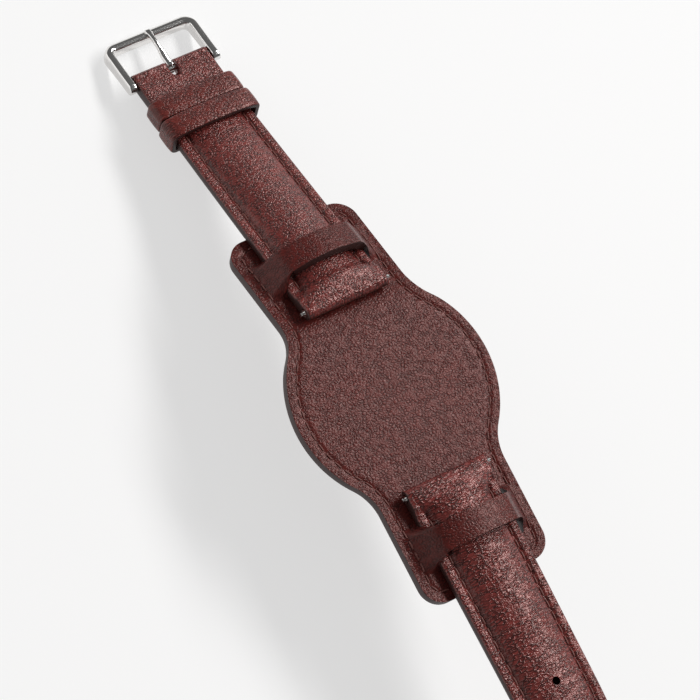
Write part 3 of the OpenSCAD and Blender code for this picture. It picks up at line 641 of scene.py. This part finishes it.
def buckle_frame_piece(material):
    """The frame as one bar of rounded section carried along a U: back end of the left arm, corner, crossbar,
    corner, right arm. The section grows from the arms' tails to the crossbar, and its corners follow a
    superellipse that is squarer on the arms than on the crossbar."""
    w = BUCKLE_W / 2 - ARM_W / 2
    front = BUCKLE_REACH - CROSSBAR_W / 2
    r, tail_y, tail_h, cap = 2.1, -1.1, 2.9, 1.35
    arm = np.linspace(tail_y, front - r, 26)
    a = np.linspace(0, math.pi / 2, 15)[1:-1]
    bar = np.linspace(-w + r, w - r, 40)
    r_cos, r_sin = r * np.cos(a), r * np.sin(a)
    px = np.concatenate([np.full(len(arm), -w), -w + r - r_cos, bar, w - r + r_sin, np.full(len(arm), w)])
    py = np.concatenate([arm, front - r + r_sin, np.full(len(bar), front), front - r + r_cos, arm[::-1]])
    tx = np.gradient(px)
    ty = np.gradient(py)
    n = np.hypot(tx, ty)
    ox, oy = -ty / n, tx / n
    f = smooth((py - front + r + 1) / (r + 1))
    width = ARM_W + (CROSSBAR_W - ARM_W) * f
    height = tail_h + (ARM_H - tail_h) * smooth(py / front)
    power = 5.5 - 2.7 * f
    s = np.linspace(0, 2 * math.pi, 49)[:-1]
    c, q = np.cos(s), np.sin(s)
    pw = (2 / power)[:, None]
    sx = np.sign(c)[None] * np.abs(c)[None] ** pw * width[:, None] / 2
    sz = np.sign(q)[None] * np.abs(q)[None] ** pw * height[:, None] / 2
    x = px[:, None] + ox[:, None] * sx
    y = py[:, None] + oy[:, None] * sx
    k = np.linspace(0, math.pi / 2, 9)[1:, None]
    caps = []
    for end in (0, -1):
        cx = px[end] + ox[end] * sx[end] + 0 * k
        caps.append((cx, py[end] - cap * np.sin(k) + 0 * cx, sz[end] * np.cos(k)))
    x, y, z = (np.concatenate([left[::-1], middle, right])
               for left, middle, right in zip(caps[0], (x, y, sz), caps[1]))
    rows, cols = x.shape
    points = rigid(x, y, z, BUCKLE_AT, BAR_H).reshape(-1, 3)
    obj = mesh_piece("buckle_frame_polished", points, grid_faces(rows, cols, wrap_cols=True), [material],
                     uv=np.stack([x, y], -1).reshape(-1, 2), body="buckle")
    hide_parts("buckle_frame")
    return obj


def tongue_piece(material):
    """The tongue: a tapering bar of rounded section that leaves the top of its curl, dips to the crossbar's
    groove in an S-curve and ends round, joined to a curl of more than half a turn about the bar."""
    root_t, taper, curl_t, curl_w = 1.3, 0.35, 0.62, 0.85
    groove, play = 0.5, 0.15
    outer = BUCKLE_HOLE_R + 0.65
    mid_r = BUCKLE_HOLE_R + 0.34
    seat = ARM_H / 2 - groove + play
    reach = BUCKLE_REACH - 0.85
    a = np.linspace(math.radians(-200), 0, 30)
    curl_y, curl_z = -mid_r * np.sin(a), mid_r * np.cos(a)
    u = np.linspace(0, 1, 46)[1:]
    low = mix(outer - root_t, seat, smooth(1.25 * u))
    thick = root_t - taper * u
    y = np.concatenate([curl_y, u * reach])
    z = np.concatenate([curl_z, low + thick / 2])
    start = smooth(u / 0.12)
    curl = len(a)
    thickness = np.concatenate([np.full(curl, curl_t), curl_t + (thick - curl_t) * start])
    z[curl:] = curl_z[-1] + (z[curl:] - curl_z[-1]) * start
    bar_w = curl_w - 0.27 * smooth((u - 0.3) / 0.25) + 0.2 * smooth((u - 0.86) / 0.1)
    width = np.concatenate([np.full(curl, curl_w), bar_w])
    end = np.linspace(0, math.pi / 2, 8)[1:]
    y = np.concatenate([y, reach + 0.42 * np.sin(end)])
    z = np.concatenate([z, np.full(len(end), z[-1])])
    thickness = np.concatenate([thickness, thickness[-1] * np.cos(end)])
    width = np.concatenate([width, width[-1] * np.sqrt(np.cos(end))])
    first = np.linspace(math.pi / 2, 0, 6)[:-1]
    y0, z0 = y[0], z[0]
    ty, tz = y[1] - y[0], z[1] - z[0]
    n = math.hypot(ty, tz)
    y = np.concatenate([y0 - ty / n * 0.3 * np.sin(first), y])
    z = np.concatenate([z0 - tz / n * 0.3 * np.sin(first), z])
    thickness = np.concatenate([thickness[0] * np.cos(first), thickness])
    width = np.concatenate([width[0] * (0.75 + 0.25 * np.cos(first)), width])
    gy, gz = np.gradient(y), np.gradient(z)
    n = np.hypot(gy, gz)
    ny, nz = -gz / n, gy / n
    s = np.linspace(0, 2 * math.pi, 33)[:-1]
    c, q = np.cos(s), np.sin(s)
    sx = np.sign(c) * np.abs(c) ** (2 / 3.2)
    sz = np.sign(q) * np.abs(q) ** (2 / 3.2) / 2
    x = width[:, None] * sx[None]
    rise = thickness[:, None] * sz[None]
    yy = y[:, None] + ny[:, None] * rise
    zz = z[:, None] + nz[:, None] * rise
    rows, cols = x.shape
    points = rigid(x, yy, zz, BUCKLE_AT, BAR_H).reshape(-1, 3)
    obj = mesh_piece("tongue_polished", points, grid_faces(rows, cols, wrap_cols=True)[:, ::-1], [material],
                     uv=np.stack([x, yy], -1).reshape(-1, 2), body="tongue")
    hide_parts("buckle_tongue")
    return obj


# Materials

def linear(code):
    """Linear colour of an sRGB hex code."""
    v = np.array([int(code[i:i + 2], 16) for i in (1, 3, 5)]) / 255
    v = np.where(v <= 0.04045, v / 12.92, ((v + 0.055) / 1.055) ** 2.4)
    return (*v.tolist(), 1.0)


def node(tree, kind, links=(), **settings):
    """Adds a node: links join its inputs to other nodes' outputs, settings that start with in_ are values of
    its inputs, by name or number, and the others are its own properties."""
    made = tree.nodes.new(kind)
    own = {key: value for key, value in settings.items() if not key.startswith("in_")}
    for key, value in own.items():
        setattr(made, key, value)
    for key in settings.keys() - own.keys():
        socket = key[3:]
        made.inputs[int(socket) if socket.isdigit() else socket.replace("_", " ")].default_value = settings[key]
    for socket, source in dict(links).items():
        tree.links.new(source, made.inputs[socket])
    return made


def material(name, base, roughness=0.5, metallic=0.0, **settings):
    """A material with its shader, whose other inputs settings name: returns material, tree and shader."""
    mat = bpy.data.materials.new(name)
    mat.use_nodes = True
    tree = mat.node_tree
    shader = tree.nodes["Principled BSDF"]
    shader.inputs["Base Color"].default_value = linear(base)
    shader.inputs["Roughness"].default_value = roughness
    shader.inputs["Metallic"].default_value = metallic
    for key, value in settings.items():
        shader.inputs[key.replace("_", " ")].default_value = value
    return mat, tree, shader


GLINT = "#ffdad4"  # warm tint of the leather's highlights
# Colour of the creases: partly dye held in them, partly painted shade for the shadow down in them
CREASE_DYE_AND_SHADE = "#260b0a"
CREASE_DULL = 0.08  # how much rougher a crease is than a pebble


def pebbled_calf(name, colour, cell, depth, rough, crease_dye_and_shade, polish):
    """Calf leather with an embossed pebble grain, dyed red brown: low domed cells between creases that fade
    in and out and are coloured darker, partly by the dye they hold and partly as painted shade for the
    shadow down in them, under a slow change of tone. To the eye it gives separate glints on the pebbles,
    dark lines between them and a cloudy, handled colour. cell is the size of one pebble in mm (across,
    along), depth the emboss in mm, rough the roughness of a pebble, crease_dye_and_shade the share of the
    crease colour (dye and painted shade) and polish the specular level."""
    mat, tree, shader = material(name, colour, rough, Specular_IOR_Level=polish, Specular_Tint=linear(GLINT))
    uv = node(tree, "ShaderNodeUVMap", uv_map="flat")
    bend_noise = node(tree, "ShaderNodeTexNoise", {"Vector": uv.outputs["UV"]}, noise_dimensions="2D",
                      in_Scale=0.6 / cell[1], in_Detail=2.0)
    shift = node(tree, "ShaderNodeVectorMath", {0: bend_noise.outputs["Color"], 2: uv.outputs["UV"]},
                 operation="MULTIPLY_ADD", in_1=(0.9 * cell[0], 0.9 * cell[1], 0))
    sized = node(tree, "ShaderNodeMapping", {"Vector": shift.outputs["Vector"]},
                 in_Scale=(1 / cell[0], 1 / cell[1], 1))
    edge = node(tree, "ShaderNodeTexVoronoi", {"Vector": sized.outputs["Vector"]}, voronoi_dimensions="2D",
                feature="DISTANCE_TO_EDGE", in_Scale=1.0, in_Randomness=1.0)
    dome = node(tree, "ShaderNodeMapRange", {"Value": edge.outputs["Distance"]},
                interpolation_type="SMOOTHSTEP", in_From_Max=0.45)
    small = node(tree, "ShaderNodeTexVoronoi", {"Vector": sized.outputs["Vector"]}, voronoi_dimensions="2D",
                 feature="DISTANCE_TO_EDGE", in_Scale=2.3, in_Randomness=1.0)
    grit = node(tree, "ShaderNodeMapRange", {"Value": small.outputs["Distance"]},
                interpolation_type="SMOOTHSTEP", in_From_Max=0.3)
    patch = node(tree, "ShaderNodeTexNoise", {"Vector": sized.outputs["Vector"]}, noise_dimensions="2D",
                 in_Scale=0.45, in_Detail=3.0)
    keep = node(tree, "ShaderNodeMapRange", {"Value": patch.outputs[0]}, interpolation_type="SMOOTHSTEP",
                in_From_Min=0.3, in_From_Max=0.62, in_To_Min=0.35, in_To_Max=1.0)
    hollow = node(tree, "ShaderNodeMath", {0: dome.outputs["Result"]}, operation="SUBTRACT", in_1=1.0)
    crease = node(tree, "ShaderNodeMath", {0: hollow.outputs["Value"], 1: keep.outputs["Result"]},
                  operation="MULTIPLY")
    height = node(tree, "ShaderNodeMath", {0: grit.outputs["Result"], 2: crease.outputs["Value"]},
                  operation="MULTIPLY_ADD", in_1=0.15)
    bump = node(tree, "ShaderNodeBump", {"Height": height.outputs["Value"]}, in_Strength=1.0,
                in_Distance=depth * MM)
    tree.links.new(bump.outputs["Normal"], shader.inputs["Normal"])
    spot = node(tree, "ShaderNodeTexCoord")
    cloud = node(tree, "ShaderNodeTexNoise", {"Vector": spot.outputs["Object"]},
                 in_Scale=110.0, in_Detail=4.0)
    tone = node(tree, "ShaderNodeMapRange", {"Value": cloud.outputs[0]}, in_From_Min=0.3, in_From_Max=0.7,
                in_To_Min=0.84, in_To_Max=1.14)
    # Painted shade and dye: the base colour darkens towards the crease colour down in the creases
    deep = node(tree, "ShaderNodeMath", {0: crease.outputs["Value"]}, operation="MULTIPLY", in_1=-crease_dye_and_shade)
    dye_and_crease_shade = node(tree, "ShaderNodeMix", {"Factor": deep.outputs["Value"]}, data_type="RGBA",
               in_6=linear(colour), in_7=linear(CREASE_DYE_AND_SHADE))
    toned = node(tree, "ShaderNodeVectorMath", {0: dye_and_crease_shade.outputs[2], "Scale": tone.outputs["Result"]},
                 operation="SCALE")
    tree.links.new(toned.outputs["Vector"], shader.inputs["Base Color"])
    dull = node(tree, "ShaderNodeMapRange", {"Value": deep.outputs["Value"]},
                in_To_Min=rough, in_To_Max=rough + CREASE_DULL)
    tree.links.new(dull.outputs["Result"], shader.inputs["Roughness"])
    return mat


def plain_finish(name, colour, rough, grain, depth, vary=0.12):
    """A finish with a fine irregular surface: noise of that grain in mm, embossed by depth in mm, which also
    varies the colour by that share."""
    mat, tree, shader = material(name, colour, rough)
    at = node(tree, "ShaderNodeTexCoord")
    noise = node(tree, "ShaderNodeTexNoise", {"Vector": at.outputs["Object"]},
                 in_Scale=1 / (grain * MM), in_Detail=3.0)
    bump = node(tree, "ShaderNodeBump", {"Height": noise.outputs[0]}, in_Strength=1.0, in_Distance=depth * MM)
    tree.links.new(bump.outputs["Normal"], shader.inputs["Normal"])
    tone = node(tree, "ShaderNodeMapRange", {"Value": noise.outputs[0]}, in_From_Min=0.3, in_From_Max=0.7,
                in_To_Min=1 - vary, in_To_Max=1 + vary)
    toned = node(tree, "ShaderNodeVectorMath", {"Scale": tone.outputs["Result"]}, operation="SCALE",
                 in_0=linear(colour)[:3])
    tree.links.new(toned.outputs["Vector"], shader.inputs["Base Color"])
    return mat


STRAP_DYE = "#7a3430"

# Stretched over the padding: long glossy pebbles that break the light into streaks across the crown
LONG_LEATHER = pebbled_calf("pebbled calf of the long strap", STRAP_DYE, (1.35, 0.62), 0.13, 0.19, 0.95, 0.72)
# The same leather less stretched: rounder and lower pebbles with softer glints
SHORT_LEATHER = pebbled_calf("pebbled calf of the short strap", STRAP_DYE, (0.85, 0.62), 0.09, 0.23, 0.95, 0.7)
# Deeper in colour and duller than the straps' leather, with a lower specular level
PAD_LEATHER = pebbled_calf("pebbled calf of the pad", "#5c221e", (0.85, 0.6), 0.065, 0.28, 0.8, 0.36)
# Between the two, with a soft shine along the bands
KEEPER_LEATHER = pebbled_calf("pebbled calf of the keepers", "#6c2d28", (0.95, 0.65), 0.075, 0.25, 0.85, 0.5)
# A dark, slightly uneven line round every cut edge
EDGE_PAINT = plain_finish("edge paint", "#2f1411", 0.5, 0.5, 0.02)
# Matt brown with a fine nap, on the side of the wrist
LINING = plain_finish("lining calf", "#4a2a20", 0.62, 0.35, 0.03)
# A fine twist, close in tone to the leather that it lies in
THREAD = plain_finish("waxed polyester thread", "#6a3a33", 0.5, 0.18, 0.02)
# Clean bright metal that shows the soft boxes and the dark of the room as sharp bands
STEEL = material("polished steel", "#e4e2e0", 0.12, 1.0)[0]

# Pieces

pad = pad_piece([PAD_LEATHER, EDGE_PAINT, LINING])
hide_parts("pad_top_leather", "pad_lining")

# The rows of a strap lie closer where its form changes fast, and closest towards the tip
rise_at = LUG_AT + LOOP_EDGE_LEN
long_ts = -spaced(LUG_AT, rise_at, 8, rise_at + 5, 16, LONG_FLAT, 120, LONG_END - POINT_LEN, 130)
tip = LONG_END - POINT_LEN * (1 - np.sin(np.linspace(0, math.pi / 2, 44))[1:])
long_ts = np.concatenate([long_ts, -tip])
long = strap("long_strap_leather", long_ts, long_half_w, long_form, [(-LUG_AT, LUG_LOOP_R, 1, True)],
             "long_strap", [LONG_LEATHER, EDGE_PAINT, LINING])
holes = [-LUG_AT - HOLE_FIRST - i * HOLE_PITCH for i in range(HOLE_N)]
cut(long, *[prism(circle(HOLE_D / 2), upright(at), -4, CUTTER_TOP) for at in holes],
    prism(circle(LUG_HOLE_R), crosswise(-LUG_AT, BAR_H), -CUTTER_W, CUTTER_W))
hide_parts("long_top_leather", "long_filler", "long_lining")

short_ts = spaced(LUG_AT, rise_at, 8, rise_at + 5, 16, FLOATING_AT - 4, 150, FLOATING_AT + 4, 30,
                  BUCKLE_AT, 30)
short = strap("short_strap_leather", short_ts, half_w, short_form,
              [(LUG_AT, LUG_LOOP_R, -1, True), (BUCKLE_AT, BUCKLE_LOOP_R, 1, False)],
              "short_strap", [SHORT_LEATHER, EDGE_PAINT, LINING])
# The notch for the tongue is a slot with a round end, deeper above the bar than below it
notch = np.array([[NOTCH_R, 5.0], [-NOTCH_R, 5.0]] + [
    [-NOTCH_R * math.cos(a), -NOTCH_R * math.sin(a)] for a in np.linspace(0, math.pi, 17)])
cut(short, prism(circle(LUG_HOLE_R), crosswise(LUG_AT, BAR_H), -CUTTER_W, CUTTER_W),
    prism(circle(BUCKLE_HOLE_R), crosswise(BUCKLE_AT, BAR_H), -CUTTER_W, CUTTER_W),
    *[prism(notch + [0, NOTCH_R - reach], upright(BUCKLE_AT), low, CUTTER_TOP)
      for reach, low in ((NOTCH_LOW, -2), (NOTCH_HIGH, BAR_H + 0.1))])
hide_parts("short_top_leather", "short_filler", "short_lining")

# The fixed keeper fits the leather under it, and the floating one the widest and highest on its way
bands = [KEEPER_LEATHER, EDGE_PAINT, LINING]
top = CLEAR + float(short_form(np.array(FIXED_AT + KEEPER_W / 2))[0])
keeper("fixed_keeper_band", FIXED_AT, float(half_w(FIXED_AT - KEEPER_W / 2)) + 0.05, 0.25, top + 0.05,
       top + 0.75, "short_strap", bands)
float_t = FLOATING_AT - KEEPER_W / 2 - FLOAT_TRAVEL
keeper("floating_keeper_band", FLOATING_AT, float(half_w(float_t)) + CLEAR, 0.0, CLEAR + EDGE_T + 0.8,
       CLEAR + EDGE_T + float(short_form(np.array(float_t))[1]) + CLEAR, "floating_keeper", bands)


def strap_stitches(name, a, b, sign, width, form, body, cad_node):
    """Both rows of a strap's stitches in the sunk line, from a to b along it, at an even pitch."""
    pitch, start, stop = STRAP_STITCH
    n = round((b - a) / pitch)
    i = np.arange(n)
    rows = []
    for share in (start, stop):
        t = sign * (a + (i + share) * ((b - a) / n))
        w = width(t)
        x = np.maximum(0.3, w - SEAM_IN)
        rows.append(np.concatenate([
            np.stack([side * x, t, strap_top(side * x, w, *form(t))], -1) for side in (-1, 1)]))
    return thread_row(name, *rows, lift=0.12, r=0.24, body=body, cad_node=cad_node, sink=0.02)


strap_stitches("long_strap_thread", rise_at + 3, LONG_END - 2.2, -1, long_half_w, long_form, "long_strap",
               "long_stitching")
strap_stitches("short_strap_thread", rise_at + 3, FLOATING_AT + 1.5, 1, half_w, short_form, "short_strap",
               "short_stitching")


def pad_stitches():
    """Stitches round the pad along the line inside its outline that its sunk seam follows."""
    pitch, *shares = PAD_STITCH
    line = pad_outline(400)
    step = np.roll(line[:-1], -1, 0) - np.roll(line[:-1], 1, 0)
    step /= np.linalg.norm(step, axis=1)[:, None]
    inside = line[:-1] + PAD_SEAM_IN * np.stack([-step[:, 1], step[:, 0]], -1)
    d = outline_distance(inside[:, :1], inside[:, 1:], line)[:, 0]
    inside = inside[d > PAD_SEAM_IN - 0.05]
    inside = np.concatenate([inside, inside[:1]])
    run = np.concatenate([[0], np.cumsum(np.linalg.norm(np.diff(inside, axis=0), axis=1))])
    n = round(run[-1] / pitch)
    i = np.arange(n)
    ends = []
    for share in shares:
        s = (i + share) * run[-1] / n
        x, t = np.interp(s, run, inside[:, 0]), np.interp(s, run, inside[:, 1])
        ends.append(np.stack([x, t, pad_lift(x, t) - 0.18], -1))
    return thread_row("pad_thread", *ends, lift=0.1, r=0.2, body="pad", cad_node="pad_stitching")


pad_stitches()
buckle_frame_piece(STEEL)
tongue_piece(STEEL)
for key, obj in nodes.items():
    if "_bar_" in key:
        obj.data.materials.clear()
        obj.data.materials.append(STEEL)

# Camera, floor and lights

# The picture's right and up, as the frame's directions, and the spot in its middle
DISTANCE = 1.0
right = Vector((0.8149, -0.4593, 0.3537)).normalized()
back = right.cross(Vector((0.370, 0.8813, 0.2924))).normalized()
up = back.cross(right)
centre = Vector((-4.85, 12.18, -0.54)) * MM
camera = bpy.data.objects.new("camera", bpy.data.cameras.new("camera"))
bpy.context.scene.collection.objects.link(camera)
turned = Matrix((right, up, back)).transposed().to_4x4()
camera.matrix_world = Matrix.Translation(centre + back * DISTANCE) @ turned
camera.data.sensor_width = 36.0
camera.data.sensor_fit = "HORIZONTAL"
camera.data.lens = 234.0
camera.data.clip_start, camera.data.clip_end = 0.05, 50
bpy.context.scene.camera = camera


def soft_box(name, where, wide, tall, power):
    """A soft box of that width and height in metres at where, in right, up and back of the camera, turned
    towards the strap."""
    light = bpy.data.lights.new(name, "AREA")
    light.shape, light.size, light.size_y, light.energy = "RECTANGLE", wide, tall, power
    obj = bpy.data.objects.new(name, light)
    bpy.context.scene.collection.objects.link(obj)
    out = where[0] * right + where[1] * up + where[2] * back
    side = up.cross(out).normalized()
    turn = Matrix((side, out.cross(side).normalized(), out.normalized())).transposed().to_4x4()
    obj.matrix_world = Matrix.Translation(centre + out) @ turn


# A narrow, high key draws the streaks along the crowns, and a broad, weak fill opens the shadows
soft_box("key", (1.2, 0.95, 0.58), 0.36, 1.7, 27.0)
soft_box("left", (-1.2, 0.6, 0.7), 1.4, 1.4, 4.6)


def seen_rays(tree):
    """One for rays from the camera, off polish and through clear stuff, nought for rays that only light."""
    ray = node(tree, "ShaderNodeLightPath")
    most = node(tree, "ShaderNodeMath", {0: ray.outputs["Is Camera Ray"], 1: ray.outputs["Is Glossy Ray"]},
                operation="MAXIMUM")
    return node(tree, "ShaderNodeMath", {0: most.outputs["Value"], 1: ray.outputs["Is Transmission Ray"]},
                operation="MAXIMUM").outputs["Value"]


# The world: white round the horizon and dark overhead, so that no veil lies on the leather and the steel has
# something dark to show. Rays that only light get a weaker and more even one.
world = bpy.data.worlds.new("studio")
bpy.context.scene.world = world
world.use_nodes = True
wt = world.node_tree
wt.nodes.clear()
seen = seen_rays(wt)
low = node(wt, "ShaderNodeMapRange", {"Value": seen}, in_To_Min=0.45, in_To_Max=1.0)
high = node(wt, "ShaderNodeMapRange", {"Value": seen}, in_To_Min=0.24, in_To_Max=0.12)
way = node(wt, "ShaderNodeTexCoord")
parts = node(wt, "ShaderNodeSeparateXYZ", {0: way.outputs["Generated"]})
fade = node(wt, "ShaderNodeMapRange", {"Value": parts.outputs["Z"], "To Min": low.outputs["Result"],
                                       "To Max": high.outputs["Result"]},
            interpolation_type="SMOOTHSTEP", in_From_Min=0.08, in_From_Max=0.32)
soft = node(wt, "ShaderNodeBackground", {"Strength": fade.outputs["Result"]}, in_Color=linear("#ffffff"))
node(wt, "ShaderNodeOutputWorld", {"Surface": soft.outputs["Background"]})

# The floor: white paper just under the strap. The white that is seen of it comes to six tenths from the
# paper's own colour, without light on the strap, and the rest keeps the strap's shadow.
floor_z = cad_box[0][2] - 0.2 * MM
side = 3.0
floor = bpy.data.meshes.new("floor")
floor.from_pydata([(x, y, floor_z) for x, y in ((-side, -side), (side, -side), (side, side), (-side, side))],
                  [], [(0, 1, 2, 3)])
floor_mat, ft, fs = material("matt white paper", "#f4f3f2", 0.9)
part = node(ft, "ShaderNodeMath", {0: seen_rays(ft)}, operation="MULTIPLY", in_1=0.6)
glow = node(ft, "ShaderNodeEmission", in_Strength=1.0)
blend = node(ft, "ShaderNodeMixShader", {
    0: part.outputs["Value"], 1: fs.outputs["BSDF"], 2: glow.outputs["Emission"]})
ft.links.new(blend.outputs["Shader"], ft.nodes["Material Output"].inputs["Surface"])
floor.materials.append(floor_mat)
floor_obj = bpy.data.objects.new("floor", floor)
bpy.context.scene.collection.objects.link(floor_obj)

bpy.context.scene.view_settings.view_transform = "Standard"
